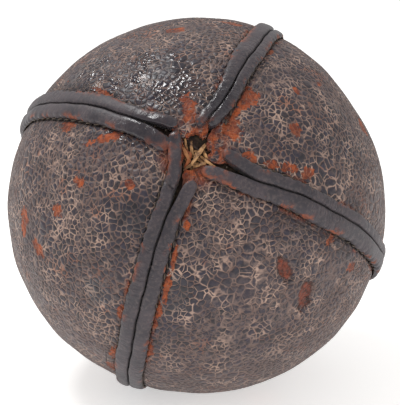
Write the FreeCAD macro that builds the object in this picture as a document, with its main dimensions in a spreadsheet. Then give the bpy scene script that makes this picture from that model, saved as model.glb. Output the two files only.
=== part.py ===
import FreeCAD, Part
import math
import os

import Sketcher

# A hand-sewn leather medicine ball.
#
# Four leather cover panels (gores) run from a front pole to a rear pole. Every long edge of a panel,
# with its canvas lining, sits in the slot of a folded leather edge binding. Two bindings lie side by
# side along each seam and stand proud of the cover as a double ridge. A row of waxed-thread stitches
# runs along the outer edge of each binding, and a ladder of closing stitches ties the two folds of a
# seam together. Packed fibre fills the ball, and loose straw shows where the front pole has torn open.
#
# Frame: millimetres, +Z up, origin on the floor under the ball's middle. The front pole faces -Y and
# up. The ball's own weight has pressed a small flat on its underside, which lies on the floor.

document = FreeCAD.newDocument("MedicineBall")

# ---------------------------------------------------------------- driving dimensions

SIZES = {
    "panel_radius": 138.0,          # outside of the leather cover
    "panel_thickness": 3.0,
    "lining_thickness": 1.0,
    "rest_depth": 3.0,              # how far the resting side is pressed flat
    "pole_elevation": 30.0,         # degrees from the horizon up to the front pole
    "slip": 0.1,                    # clearance between neighbouring layers
    # edge binding, a strip folded over the panel's edge
    "binding_width": 11.0,          # visible width of one binding
    "binding_fold": 2.4,            # leather thickness at the fold, beside the slot
    "binding_round": 7.6,           # radius of the rolled top
    "binding_shoulder": 2.2,        # height over the cover at the fold
    "binding_edge": 1.2,            # height over the cover at the outer edge
    "inner_leg_width": 9.0,
    "inner_leg_thickness": 2.0,
    "closing_gap": 1.0,             # split between the two folds of a seam
    # thread
    "thread_radius": 0.6,
    "stitch_length": 5.0,
    "stitch_pitch": 7.5,
    "closing_thread_radius": 0.45,
    "closing_pitch": 8.0,
    "row_margin": 3.0,              # from the end of a binding to its first stitch
    # torn opening at the front pole, and the straw in it
    "tear_radius": 12.0,
    "lining_tear_radius": 10.0,
    "straw_radius": 0.7,
    "straw_length": 8.5,
    # each seam: direction round the pole, lean of its plane, and where its two bindings end
    "top_longitude": 65.5,
    "top_lean": 0.5,
    "top_ahead_setback": 15.0,
    "top_behind_setback": 20.0,
    "left_longitude": 155.0,
    "left_lean": 1.0,
    "left_ahead_setback": 24.0,
    "left_behind_setback": 22.0,
    "bottom_longitude": 250.5,
    "bottom_lean": 0.75,
    "bottom_ahead_setback": 21.0,
    "bottom_behind_setback": 13.0,
    "right_longitude": 343.5,
    "right_lean": 1.0,
    "right_ahead_setback": 16.0,
    "right_behind_setback": 13.0,
}

sheet = document.addObject("Spreadsheet::Sheet", "Sizes")
for row, (alias, number) in enumerate(SIZES.items(), start=1):
    sheet.set(f"A{row}", alias)
    sheet.set(f"B{row}", str(number))
    sheet.setAlias(f"B{row}", alias)
document.recompute()


def size(alias):
    """The present value of one driving dimension."""
    return float(sheet.get(alias))


# Radii of the layers, from the cover inwards, as expressions of the sheet.
COVER_OUTSIDE = "Sizes.panel_radius"
COVER_INSIDE = "(Sizes.panel_radius - Sizes.panel_thickness)"
LINING_OUTSIDE = f"({COVER_INSIDE} - Sizes.slip)"
LINING_INSIDE = f"({LINING_OUTSIDE} - Sizes.lining_thickness)"
LEG_OUTSIDE = f"({LINING_INSIDE} - Sizes.slip)"
LEG_INSIDE = f"({LEG_OUTSIDE} - Sizes.inner_leg_thickness)"
STUFFING_OUTSIDE = f"({LEG_INSIDE} - Sizes.slip)"

# The seams in order round the front pole, each with the names of its two sides: the side ahead, in
# the direction of increasing longitude, and the side behind.
SEAMS = ("top", "left", "bottom", "right")
SIDES = {
    "top": {"ahead": "left", "behind": "right"},
    "left": {"ahead": "lower", "behind": "upper"},
    "bottom": {"ahead": "right", "behind": "left"},
    "right": {"ahead": "upper", "behind": "lower"},
}
PANELS = {"top": "upper_left", "left": "lower_left", "bottom": "lower_right", "right": "upper_right"}


# ---------------------------------------------------------------- frames

X, Y, Z = FreeCAD.Vector(1, 0, 0), FreeCAD.Vector(0, 1, 0), FreeCAD.Vector(0, 0, 1)
CENTRE_HEIGHT = size("panel_radius") - size("rest_depth")
REACH = 2 * size("panel_radius")    # half the length of a cutting block, well past the ball


def turned(axis, degrees):
    """A rotation about an axis through the origin."""
    return FreeCAD.Placement(FreeCAD.Vector(), FreeCAD.Rotation(axis, degrees))


def moved(x=0.0, y=0.0, z=0.0):
    """A shift without rotation."""
    return FreeCAD.Placement(FreeCAD.Vector(x, y, z), FreeCAD.Rotation())


# The ball's own frame: origin at its centre, +Z to the front pole.
BALL = moved(z=CENTRE_HEIGHT) * turned(X, 90 - size("pole_elevation"))


def seam_frame(seam, side):
    """The frame of one binding of a seam.

    X points away from the pole along the seam and Y across it, to the binding's own side. Z points
    to the front pole on the side ahead, and to the rear pole on the side behind. The seam's plane
    leans about X, so that it meets the rear pole and passes a little beside the front pole.
    """
    frame = BALL * turned(Z, size(f"{seam}_longitude")) * turned(X, size(f"{seam}_lean"))
    return frame if side == "ahead" else frame * turned(X, 180)


def seam_plane(seam, side):
    """Where the seam's plane crosses Y of the seam frame, as an expression."""
    sign = "-" if side == "ahead" else ""
    return f"{sign}Sizes.panel_radius * sin(Sizes.{seam}_lean)"


def seam_plane_offset(seam, side):
    """The same place as a number."""
    offset = size("panel_radius") * math.sin(math.radians(size(f"{seam}_lean")))
    return -offset if side == "ahead" else offset


def arc_degrees(length):
    """The angle that a length along the cover spans at the ball's centre."""
    return math.degrees(length / size("panel_radius"))


def next_seam(seam):
    """The seam ahead, round the front pole."""
    return SEAMS[(SEAMS.index(seam) + 1) % len(SEAMS)]


def panel_span(seam):
    """The angle of the panel between a seam and the one ahead."""
    return (size(f"{next_seam(seam)}_longitude") - size(f"{seam}_longitude")) % 360


def panel_beside(seam, side):
    """The seam that names the panel on one side of a seam."""
    return seam if side == "ahead" else SEAMS[SEAMS.index(seam) - 1]


def seam_run(seam, side, front_clear, rear_clear):
    """First and last angle of a run along a seam, from Z of the seam frame."""
    front, rear = arc_degrees(front_clear), arc_degrees(rear_clear)
    return (front, 180 - rear) if side == "ahead" else (rear, 180 - front)


# ---------------------------------------------------------------- building blocks

def bind(thing, **expressions):
    """Ties properties of an object to expressions of the sheet."""
    for name, expression in expressions.items():
        thing.setExpression(name, expression)
    return thing


def boolean(kind, name, base, tool):
    """A Part boolean of two objects."""
    result = document.addObject(f"Part::{kind}", name)
    result.Base, result.Tool = base, tool
    return result


def block(name, length, width, height, placement):
    """A cutting block with one corner at its placement."""
    box = document.addObject("Part::Box", name)
    box.Length, box.Width, box.Height = length, width, height
    box.Placement = placement
    return box


def origin_feature(body, role):
    """One of a body's own planes or axes."""
    return next(item for item in body.Origin.OriginFeatures if item.Role == role)


def new_sketch(body, plane):
    """An empty sketch on one of a body's own planes."""
    sketch = body.newObject("Sketcher::SketchObject", f"{body.Name}_outline")
    sketch.AttachmentSupport = [(origin_feature(body, plane), "")]
    sketch.MapMode = "FlatFace"
    return sketch


def dimension(sketch, name, constraint, expression):
    """Adds a named dimension and ties it to the sheet."""
    index = sketch.addConstraint(constraint)
    sketch.renameConstraint(index, name)
    sketch.setExpression(f"Constraints.{name}", expression)


def ball_form(name, radius, floor_level):
    """A ball whose underside is cut flat at a height over the floor."""
    ball = document.addObject("Part::Sphere", f"{name}_round")
    ball.Placement = BALL
    bind(ball, Radius=radius)
    above = block(f"{name}_above", 2 * REACH, 2 * REACH, 2 * REACH, moved(-REACH, -REACH))
    bind(above, **{"Placement.Base.z": floor_level})
    return boolean("Common", f"{name}_form", ball, above)


def shell_form(name, outside, inside, floor_level, thickness, tear_radius):
    """A hollow ball with one wall thickness all over and a torn hole at the front pole."""
    outer = ball_form(f"{name}_outer", outside, floor_level)
    inner = ball_form(f"{name}_inner", inside, f"{floor_level} + {thickness}")
    shell = boolean("Cut", f"{name}_closed", outer, inner)
    hole = document.addObject("Part::Cylinder", f"{name}_tear")
    hole.Placement = BALL
    bind(hole, Radius=tear_radius, Height=f"2 * {COVER_OUTSIDE}")
    return boolean("Cut", f"{name}_shell", shell, hole)


# Everything stays above the floor.
floor_side = block("floor_side", 2 * REACH, 2 * REACH, 2 * REACH, moved(-REACH, -REACH))


def pressed_flat(name, thing):
    """The named sub-part: a thing that the floor presses flat where it reaches so low."""
    node = boolean("Common", name, thing, floor_side)
    node.Label = name
    return node


def clear_of_floor(name, row):
    """The named sub-part: the stitches of a row that the floor doesn't press into the leather."""
    document.recompute()
    kept = [stitch for stitch in row.Shape.Solids if stitch.optimalBoundingBox(False, False).ZMin > 0]
    node = document.addObject("Part::Feature", name)
    node.Shape = Part.Compound(kept)
    node.Label = name
    return node


# ---------------------------------------------------------------- cover and lining

def beyond_seam(name, seam, side):
    """A block over everything past the fold of one binding, on the binding's side of its seam."""
    past_fold = size("closing_gap") / 2 + size("binding_fold") + size("slip")
    start = seam_plane_offset(seam, side) + past_fold
    return block(name, 2 * REACH, REACH, 2 * REACH, seam_frame(seam, side) * moved(-REACH, start, -REACH))


def gore(name, shell, seam):
    """The part of a shell between the folds of a seam and of the one ahead."""
    first = boolean("Common", f"{name}_first_edge", shell, beyond_seam(f"{name}_from", seam, "ahead"))
    second = beyond_seam(f"{name}_to", next_seam(seam), "behind")
    node = boolean("Common", name, first, second)
    node.Label = name
    return node


def cover_panels():
    """Four leather gores."""
    shell = shell_form(
        "cover", COVER_OUTSIDE, COVER_INSIDE, "0", "Sizes.panel_thickness", "Sizes.tear_radius"
    )
    return [gore(f"cover_panel_{PANELS[seam]}", shell, seam) for seam in SEAMS]


def lining_panels():
    """Four canvas gores, one behind each leather gore."""
    level = "Sizes.panel_thickness + Sizes.slip"
    shell = shell_form(
        "lining", LINING_OUTSIDE, LINING_INSIDE, level, "Sizes.lining_thickness", "Sizes.lining_tear_radius"
    )
    return [gore(f"lining_panel_{PANELS[seam]}", shell, seam) for seam in SEAMS]


# ---------------------------------------------------------------- edge bindings

ORIGIN = (-1, 1)    # a sketch's own origin, as a constraint names it


def arc_about(centre, start, end):
    """The arc about a centre that runs counter-clockwise from one point to another."""
    first, last = start - centre, end - centre
    circle = Part.Circle(centre, Z, first.Length)
    return Part.ArcOfCircle(circle, math.atan2(first.y, first.x), math.atan2(last.y, last.x))


def roll_centre(shoulder, edge, radius):
    """The centre of the arc of a radius that bulges outwards from a shoulder to an edge."""
    half = (edge - shoulder) / 2
    outwards = FreeCAD.Vector(-half.y, half.x, 0).normalize()
    return shoulder + half - outwards * math.sqrt(radius**2 - half.Length**2)


def binding_outline(body, seam, side):
    """The section of a binding: a fold with an inner leg and a rolled outer leg, round a slot.

    X of the sketch runs across the seam and Y outwards from the ball's centre, so the faces that
    follow the cover are arcs about the sketch's origin.
    """
    cover = size("panel_radius")
    top = cover + size("slip")
    bottom = cover - size("panel_thickness") - size("lining_thickness") - 2 * size("slip")
    inside = bottom - size("inner_leg_thickness")
    at_fold = seam_plane_offset(seam, side) + size("closing_gap") / 2
    at_slot = at_fold + size("binding_fold")
    at_edge = at_fold + size("binding_width")
    at_leg = at_fold + size("inner_leg_width")

    def point(across, radius):
        return FreeCAD.Vector(across, math.sqrt(radius**2 - across**2), 0)

    middle = FreeCAD.Vector()
    shoulder = point(at_fold, cover + size("binding_shoulder"))
    edge = point(at_edge, cover + size("binding_edge"))
    faces = [
        Part.LineSegment(point(at_fold, inside), shoulder),
        arc_about(roll_centre(shoulder, edge, size("binding_round")), edge, shoulder),
        Part.LineSegment(edge, point(at_edge, top)),
        arc_about(middle, point(at_edge, top), point(at_slot, top)),
        Part.LineSegment(point(at_slot, top), point(at_slot, bottom)),
        arc_about(middle, point(at_leg, bottom), point(at_slot, bottom)),
        Part.LineSegment(point(at_leg, bottom), point(at_leg, inside)),
        arc_about(middle, point(at_leg, inside), point(at_fold, inside)),
    ]
    fold_face, roll, edge_face, slot_top, slot_end, slot_bottom, leg_end, leg_inside = range(8)
    sketch = new_sketch(body, "YZ_Plane")
    sketch.addGeometry(faces, False)

    # Round the outline, each face starts where the one before it ends. Two arcs are passed backwards.
    for face in range(8):
        following = (face + 1) % 8
        last = 1 if face in (roll, slot_bottom) else 2
        first = 2 if following in (roll, slot_bottom) else 1
        sketch.addConstraint(Sketcher.Constraint("Coincident", face, last, following, first))
    for face in (fold_face, edge_face, slot_end, leg_end):
        sketch.addConstraint(Sketcher.Constraint("Vertical", face))
    for face in (slot_top, slot_bottom, leg_inside):
        sketch.addConstraint(Sketcher.Constraint("Coincident", face, 3, *ORIGIN))

    def across(name, face, place, expression):
        constraint = Sketcher.Constraint("DistanceX", *ORIGIN, face, 1, place)
        dimension(sketch, name, constraint, expression)

    fold = f"{seam_plane(seam, side)} + Sizes.closing_gap / 2"
    across("fold_place", fold_face, at_fold, fold)
    across("edge_place", edge_face, at_edge, f"{fold} + Sizes.binding_width")
    across("slot_place", slot_end, at_slot, f"{fold} + Sizes.binding_fold")
    across("leg_place", leg_end, at_leg, f"{fold} + Sizes.inner_leg_width")

    def radius(name, face, length, expression):
        dimension(sketch, name, Sketcher.Constraint("Radius", face, length), expression)

    radius("roll_radius", roll, size("binding_round"), "Sizes.binding_round")
    radius("top_radius", slot_top, top, f"{COVER_OUTSIDE} + Sizes.slip")
    radius("bottom_radius", slot_bottom, bottom, LEG_OUTSIDE)
    radius("inside_radius", leg_inside, inside, LEG_INSIDE)

    def height(name, face, end, above, expression):
        constraint = Sketcher.Constraint("Distance", *ORIGIN, face, end, cover + above)
        dimension(sketch, name, constraint, f"{COVER_OUTSIDE} + {expression}")

    height("shoulder_height", fold_face, 2, size("binding_shoulder"), "Sizes.binding_shoulder")
    height("edge_height", edge_face, 1, size("binding_edge"), "Sizes.binding_edge")
    return sketch


def revolved(body, sketch, degrees):
    """Turns a body's sketch about its own horizontal axis, from Z towards X of the body."""
    turn = body.newObject("PartDesign::Revolution", f"{body.Name}_run")
    turn.Profile = sketch
    turn.ReferenceAxis = (sketch, ["H_Axis"])
    bind(turn, Angle=degrees)
    return turn


def run_body(name, seam, side, first_angle):
    """A body in its seam's frame, turned so that its sketch plane stands at the first angle."""
    body = document.addObject("PartDesign::Body", name)
    body.Placement = seam_frame(seam, side) * turned(Y, first_angle)
    return body


def as_degrees(lengths):
    """An expression for the angle that some lengths along the cover span at the ball's centre."""
    return f"({lengths}) / Sizes.panel_radius * 180 / pi"


def mitre_side(name, seam, side):
    """The block past a panel's middle, where the binding of the panel's other edge runs.

    It reaches the rear half only, where the two bindings meet in a mitre.
    """
    owner = panel_beside(seam, side)
    middle = size(f"{owner}_longitude") + panel_span(owner) / 2
    corner = moved(-REACH, 0, -REACH) if side == "ahead" else moved(-REACH, -REACH, -REACH)
    return block(name, 2 * REACH, REACH, REACH, BALL * turned(Z, middle) * corner)


def edge_binding(seam, side):
    """One folded strip, from its torn end beside the front pole to the mitre at the rear pole."""
    name = f"edge_binding_{seam}_{SIDES[seam][side]}"
    setback = f"{seam}_{side}_setback"
    first, _ = seam_run(seam, side, size(setback), 0)
    body = run_body(f"{name}_strip", seam, side, first)
    sketch = binding_outline(body, seam, side)
    document.recompute()
    revolved(body, sketch, f"180 - {as_degrees('Sizes.' + setback)}")
    document.recompute()
    mitred = boolean("Cut", f"{name}_mitred", body, mitre_side(f"{name}_mitre", seam, side))
    return pressed_flat(name, mitred)


# ---------------------------------------------------------------- thread

def thread_circle(body, plane, across, outwards, across_expression, outwards_expression, alias):
    """The round section of a thread."""
    sketch = new_sketch(body, plane)
    sketch.addGeometry(Part.Circle(FreeCAD.Vector(across, outwards, 0), Z, size(alias)), False)
    dimension(sketch, "thread_radius", Sketcher.Constraint("Radius", 0, size(alias)), f"Sizes.{alias}")
    if across:
        level = Sketcher.Constraint("DistanceX", *ORIGIN, 0, 3, across)
        dimension(sketch, "thread_place", level, across_expression)
    else:
        sketch.addConstraint(Sketcher.Constraint("PointOnObject", 0, 3, -2))
    reach = Sketcher.Constraint("DistanceY", *ORIGIN, 0, 3, outwards)
    dimension(sketch, "thread_height", reach, outwards_expression)
    return sketch


def repeated(body, feature, first, last, pitch_alias):
    """Repeats a stitch along its seam, at the pitch or a little closer."""
    run = last - first
    count = int(run / arc_degrees(size(pitch_alias))) + 1
    pattern = body.newObject("PartDesign::PolarPattern", f"{body.Name}_row")
    pattern.Originals = [feature]
    pattern.Axis = (origin_feature(body, "Y_Axis"), [""])
    pattern.Angle = run
    pattern.Occurrences = count
    body.Tip = pattern
    return pattern


def corner_clear(seam, side, across):
    """How far from the rear pole two rows in one panel's corner, both this far across, would meet."""
    return across / math.tan(math.radians(panel_span(panel_beside(seam, side)) / 2))


def binding_stitches(seam, side):
    """The stitches that sew one binding to its panel, along the binding's outer edge."""
    name = f"binding_stitches_{seam}_{SIDES[seam][side]}"
    beside = size("closing_gap") / 2 + size("binding_width") + size("slip") + size("thread_radius")
    across = seam_plane_offset(seam, side) + beside
    outwards = math.sqrt((size("panel_radius") + size("slip") + size("thread_radius")) ** 2 - across**2)
    front_clear = size(f"{seam}_{side}_setback") + size("row_margin")
    rear_clear = corner_clear(seam, side, beside) + size("row_margin")
    first, last = seam_run(seam, side, front_clear, rear_clear)
    last -= arc_degrees(size("stitch_length"))
    body = run_body(f"{name}_row", seam, side, first)
    across_expression = (
        f"{seam_plane(seam, side)} + Sizes.closing_gap / 2 + Sizes.binding_width"
        " + Sizes.slip + Sizes.thread_radius"
    )
    outwards_expression = (
        f"sqrt(({COVER_OUTSIDE} + Sizes.slip + Sizes.thread_radius) ^ 2 - ({across_expression}) ^ 2)"
    )
    sketch = thread_circle(
        body, "YZ_Plane", across, outwards, across_expression, outwards_expression, "thread_radius"
    )
    document.recompute()
    stitch = revolved(body, sketch, as_degrees("Sizes.stitch_length"))
    document.recompute()
    repeated(body, stitch, first, last, "stitch_pitch")
    return clear_of_floor(name, body)


def closing_stitches(seam):
    """The ladder of threads that ties the two folds of a seam together, down in the split."""
    name = f"closing_stitches_{seam}"
    torn_end = max(size(f"{seam}_ahead_setback"), size(f"{seam}_behind_setback"))
    first, last = seam_run(seam, "ahead", torn_end + size("row_margin"), 2 * size("row_margin"))
    body = document.addObject("PartDesign::Body", name)
    in_plane = moved(y=seam_plane_offset(seam, "ahead"))
    body.Placement = seam_frame(seam, "ahead") * turned(Y, first) * in_plane
    outwards = size("panel_radius") - size("panel_thickness") / 2
    sketch = thread_circle(
        body, "XZ_Plane", 0, outwards, "", f"{COVER_OUTSIDE} - Sizes.panel_thickness / 2",
        "closing_thread_radius",
    )
    document.recompute()
    rung = body.newObject("PartDesign::Pad", f"{name}_rung")
    rung.Profile = sketch
    rung.Midplane = True
    bind(rung, Length="Sizes.closing_gap")
    document.recompute()
    repeated(body, rung, first, last, "closing_pitch")
    body.Label = name
    return body


# ---------------------------------------------------------------- filling

def stuffing():
    """The packed fibre that fills the ball."""
    level = f"{COVER_OUTSIDE} - {STUFFING_OUTSIDE}"
    filling = ball_form("fibre", STUFFING_OUTSIDE, level)
    filling.Label = "stuffing"
    return filling


def loose_straw():
    """Straw that has worked its way out of the stuffing, in a fan in the torn opening."""
    opening = size("lining_tear_radius")
    rings = ((0.0, 0.0, 1), (0.32 * opening, 12.0, 5), (0.62 * opening, 20.0, 9))
    layers = size("panel_thickness") + size("lining_thickness") + size("inner_leg_thickness")
    root = size("panel_radius") - layers - 2 * size("slip")
    straws = []
    for distance, lean, count in rings:
        for place in range(count):
            straw = document.addObject("Part::Cylinder", "straw")
            bind(straw, Radius="Sizes.straw_radius", Height="Sizes.straw_length")
            around = BALL * turned(Z, 360 / count * place) * moved(x=distance, z=root)
            straw.Placement = around * turned(Y, lean)
            straws.append(straw)
    bunch = document.addObject("Part::Compound", "loose_straw")
    bunch.Links = straws
    bunch.Label = "loose_straw"
    return bunch


# ---------------------------------------------------------------- assembly and export

sub_parts = cover_panels() + lining_panels() + [stuffing(), loose_straw()]
for seam in SEAMS:
    for side in ("ahead", "behind"):
        sub_parts.append(edge_binding(seam, side))
        sub_parts.append(binding_stitches(seam, side))
    sub_parts.append(closing_stitches(seam))
document.recompute()

for thing in document.Objects:
    if "Invalid" in thing.State or "Error" in thing.State:
        raise RuntimeError(f"{thing.Name} did not recompute: {thing.State}")
for node in sub_parts:
    if node.Shape.isNull() or not node.Shape.isValid() or not node.Shape.Solids:
        raise RuntimeError(f"{node.Label} has no valid solid")

os.makedirs("parts", exist_ok=True)
for node in sub_parts:
    node.Shape.exportStep(f"parts/{node.Label}.step")
    lowest = node.Shape.optimalBoundingBox(False, False).ZMin
    solids, volume = len(node.Shape.Solids), node.Shape.Volume / 1000
    print(f"{node.Label}: {solids} solids, {volume:.2f} cm3, lowest {lowest:.2f} mm")
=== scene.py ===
# %% [markdown]
# # A hand-sewn leather medicine ball
#
# The real ball is four leather gores sewn together over a lining and stuffed hard with straw. Each
# gore's long edges are bound with a folded strip, and two strips side by side make each raised seam.
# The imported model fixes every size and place. This lesson gives the pieces their looks.

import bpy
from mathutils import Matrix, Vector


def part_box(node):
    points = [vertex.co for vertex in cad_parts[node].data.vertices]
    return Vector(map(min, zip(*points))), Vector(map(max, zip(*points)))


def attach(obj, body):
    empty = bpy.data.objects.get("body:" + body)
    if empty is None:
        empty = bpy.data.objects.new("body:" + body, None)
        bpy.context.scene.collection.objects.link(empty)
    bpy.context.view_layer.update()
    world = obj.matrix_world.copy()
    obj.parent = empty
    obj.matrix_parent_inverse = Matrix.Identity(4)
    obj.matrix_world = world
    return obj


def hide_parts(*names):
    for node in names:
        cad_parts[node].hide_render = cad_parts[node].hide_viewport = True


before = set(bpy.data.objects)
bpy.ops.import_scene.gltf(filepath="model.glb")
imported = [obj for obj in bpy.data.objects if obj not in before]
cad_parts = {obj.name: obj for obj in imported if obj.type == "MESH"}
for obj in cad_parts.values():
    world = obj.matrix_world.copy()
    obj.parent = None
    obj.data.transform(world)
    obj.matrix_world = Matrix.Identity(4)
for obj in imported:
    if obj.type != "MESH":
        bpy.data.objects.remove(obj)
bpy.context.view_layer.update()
print("nodes in the frame:", len(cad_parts))

# %% Modules
import math

import bpy
import numpy as np
from mathutils import Matrix, Vector

MM = 0.001

# %% [markdown]
# ## Where everything lies
#
# A ball is easiest to think about in its own frame: its centre, its poles and the four seams that run
# from one pole to the other. The cover's box gives the radius and the centre. The pole's elevation and
# the seams' directions are the ball's design.

# %% The ball's own frame
covers = [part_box(name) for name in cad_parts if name.startswith("cover_panel")]
left, right = min(low.x for low, _ in covers), max(high.x for _, high in covers)
RADIUS = (right - left) / 2
CENTRE = Vector(((left + right) / 2, 0, max(high.z for _, high in covers) - RADIUS))
POLE_ELEVATION = 30
BALL = Matrix.Translation(CENTRE) @ Matrix.Rotation(math.radians(90 - POLE_ELEVATION), 4, "X")
print(f"cover radius {RADIUS / MM:.1f} mm, centre {CENTRE.z / MM:.1f} mm over the floor")

# %% The seams
# Longitude and lean are in degrees. The setbacks are where the two bindings end beside the front pole,
# and the flares how far each is pulled away from the split there, in millimetres. Near and far say how
# much of a full strip shows, because leather has crept over some of it. The bow is how far the seam
# strays to its lower side.
KEYS = ("longitude", "lean", "setback", "flare", "near", "far", "bow")
SEAMS = {
    "top": (65.5, 0.5, (15, 18), (4.0, -3.5), (0.62, 0.62), (1.0, 0.66), 0.0),
    "left": (155.0, 1.0, (16, 18), (3.5, 1.5), (0.95, 0.74), (1.0, 0.95), 0.0),
    "bottom": (250.5, 0.75, (19, -8), (3.5, 8.0), (0.82, 0.82), (0.88, 0.88), 0.0),
    "right": (343.5, 1.0, (16, 7), (4.5, 1.5), (0.84, 0.86), (0.66, 1.08), -1.9),
}
SEAMS = {seam: dict(zip(KEYS, values)) for seam, values in SEAMS.items()}
BINDING_WIDTH, SPLIT, FOLD = 11 * MM, 1 * MM, 2.5 * MM      # the fold is where a strip bends
NARROW_TO, FULL_FROM = 38 * MM, 95 * MM
BOW_AT, BOW_REACH = 38 * MM, 24 * MM
ORDER = list(SEAMS)
SIDES = {
    "top": ("left", "right"), "left": ("lower", "upper"),
    "bottom": ("right", "left"), "right": ("upper", "lower"),
}
PANELS = {"top": "upper_left", "left": "lower_left", "bottom": "lower_right", "right": "upper_right"}
AHEAD, BEHIND = 0, 1


def seam_frame(seam, side):
    """X runs away from the pole along the seam, and Y across it to the binding's own side."""
    data = SEAMS[seam]
    turn = BALL @ Matrix.Rotation(math.radians(data["longitude"]), 4, "Z")
    turn = turn @ Matrix.Rotation(math.radians(data["lean"]), 4, "X")
    return turn if side == AHEAD else turn @ Matrix.Rotation(math.pi, 4, "X")


def sideways(place):
    """A frame's Y direction."""
    return place.to_3x3() @ Vector((0, 1, 0))


def plane_offset(seam, side):
    """Where the seam's plane crosses Y of the seam frame."""
    offset = RADIUS * math.sin(math.radians(SEAMS[seam]["lean"]))
    return -offset if side == AHEAD else offset


def seam_after(seam):
    return ORDER[(ORDER.index(seam) + 1) % len(ORDER)]


def gore_edges(seam):
    """The two seam sides that bound the gore ahead of a seam."""
    return (seam, AHEAD), (seam_after(seam), BEHIND)


def gore_beside(seam, side):
    """The seam that a binding's gore starts at, and the gore's width in degrees."""
    owner = seam if side == AHEAD else ORDER[ORDER.index(seam) - 1]
    return owner, (SEAMS[seam_after(owner)]["longitude"] - SEAMS[owner]["longitude"]) % 360


def strip_width(seam, side, run):
    """How much of a binding's width shows, at a distance from the pole."""
    near, far = SEAMS[seam]["near"][side], SEAMS[seam]["far"][side]
    return near + (far - near) * smoothstep(NARROW_TO, FULL_FROM, run)


def bow(seam, side, run):
    """How far the seam strays from its plane, towards the given side."""
    stray = SEAMS[seam]["bow"] * MM * np.exp(-(((run - BOW_AT) / BOW_REACH) ** 2))
    return stray if side == AHEAD else -stray


def edge_place(seam, side, run):
    """A binding's outer edge, measured from the seam's plane."""
    return SPLIT / 2 + BINDING_WIDTH * strip_width(seam, side, run) + bow(seam, side, run)


# %% [markdown]
# ## Moving points
#
# Old leather is never a true sphere. Each piece is modelled true, then all are settled by one rule, so
# that what touched still touches: slow lumps, a sunken front pole and the flat where the ball rests.

# %% Reading and writing a mesh's points
def get_points(piece):
    """A mesh's points as an array, one row each."""
    flat = np.empty(len(piece.data.vertices) * 3)
    piece.data.vertices.foreach_get("co", flat)
    return flat.reshape(-1, 3)


def set_points(piece, points):
    """Puts the points back."""
    piece.data.vertices.foreach_set("co", points.ravel())
    piece.data.update()


def inside(frame_matrix, points):
    """Points as the given frame sees them."""
    matrix = np.array(frame_matrix.inverted())
    return points @ matrix[:3, :3].T + matrix[:3, 3]


def outside(frame_matrix, points):
    """Points of a frame, put back in the world."""
    matrix = np.array(frame_matrix)
    return points @ matrix[:3, :3].T + matrix[:3, 3]


def outward(points):
    """The unit vector from the ball's centre to each point."""
    arms = points - np.array(CENTRE)
    return arms / np.linalg.norm(arms, axis=1, keepdims=True)


def smoothstep(low, high, value):
    """0 below low, 1 above high, and smooth between."""
    part = np.clip((value - low) / (high - low), 0, 1)
    return part * part * (3 - 2 * part)


# %% Slow waves for the lumps
rng = np.random.RandomState(7)


def waves(count, wavelength):
    """Some plane waves in random directions: each a wave vector and a phase."""
    directions = rng.normal(size=(count, 3))
    directions /= np.linalg.norm(directions, axis=1, keepdims=True)
    return directions * 2 * math.pi / wavelength, rng.uniform(0, 2 * math.pi, count)


def swell(points, field):
    """The waves' sum at each point, about -1 to 1."""
    vectors, phases = field
    return np.sin(points @ vectors.T + phases).sum(axis=1) / math.sqrt(len(phases)) / 1.2


BROAD = waves(7, 150 * MM)
MIDDLE = waves(14, 62 * MM)
SMALL = waves(24, 24 * MM)


# %% The settling rule
POLE_SINK, POLE_HOLLOW = 4.0 * MM, 15 * MM


def settle(points):
    """Moves points in or out from the centre: lumps, the sunken pole, and the flat underneath."""
    arms = points - np.array(CENTRE)
    reach = np.linalg.norm(arms, axis=1, keepdims=True)
    ways = arms / reach
    skin = ways * RADIUS
    shift = 0.8 * MM * swell(skin, BROAD) + 0.55 * MM * swell(skin, MIDDLE) + 0.22 * MM * swell(skin, SMALL)
    pole = np.array(BALL.to_3x3() @ Vector((0, 0, 1)))
    from_pole = RADIUS * np.arccos(np.clip(ways @ pole, -1, 1))
    shift -= POLE_SINK * np.exp(-((from_pole / POLE_HOLLOW) ** 2))
    moved = np.array(CENTRE) + ways * (reach + shift[:, None])
    depth = np.maximum(RADIUS - reach[:, 0], 0)
    moved[:, 2] = np.maximum(moved[:, 2], depth)
    return moved


# %% [markdown]
# ## The cover panels
#
# A gore is the slice of a sphere between two seams. It could be a flat pattern that is inflated, but the
# shape of a full ball is known, so it is quicker to cut an icosphere, whose triangles are all alike,
# with the two seam planes. Solidify gives the leather its thickness.

# %% Edit-mode helpers
def deselect():
    bpy.ops.object.select_all(action="DESELECT")


def edit_all():
    """Edit mode with everything selected."""
    bpy.ops.object.mode_set(mode="EDIT")
    bpy.ops.mesh.select_all(action="SELECT")


def just_made(name):
    """The piece that was made last, under its name."""
    piece = bpy.context.object
    piece.name = piece.data.name = name
    return piece


def pick(piece):
    """Makes a piece the only selected one."""
    deselect()
    piece.select_set(True)
    bpy.context.view_layer.objects.active = piece


def close_holes():
    """In edit mode, puts a face over every open end."""
    bpy.ops.mesh.select_all(action="DESELECT")
    bpy.ops.mesh.select_non_manifold()
    bpy.ops.mesh.edge_face_add()


def object_mode():
    bpy.ops.object.mode_set(mode="OBJECT")


def edit_points(piece, chosen):
    """Edit mode with the vertices selected that are true in an array."""
    piece.data.polygons.foreach_set("select", np.zeros(len(piece.data.polygons), bool))
    piece.data.edges.foreach_set("select", np.zeros(len(piece.data.edges), bool))
    piece.data.vertices.foreach_set("select", np.asarray(chosen, bool))
    bpy.ops.object.mode_set(mode="EDIT")
    bpy.ops.mesh.select_mode(type="VERT")


def apply_modifier(piece, kind, **settings):
    """Adds a modifier, sets it up and applies it."""
    modifier = piece.modifiers.new(kind.title(), kind)
    for key, value in settings.items():
        setattr(modifier, key, value)
    bpy.context.view_layer.objects.active = piece
    bpy.ops.object.modifier_apply(modifier=modifier.name)


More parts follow.
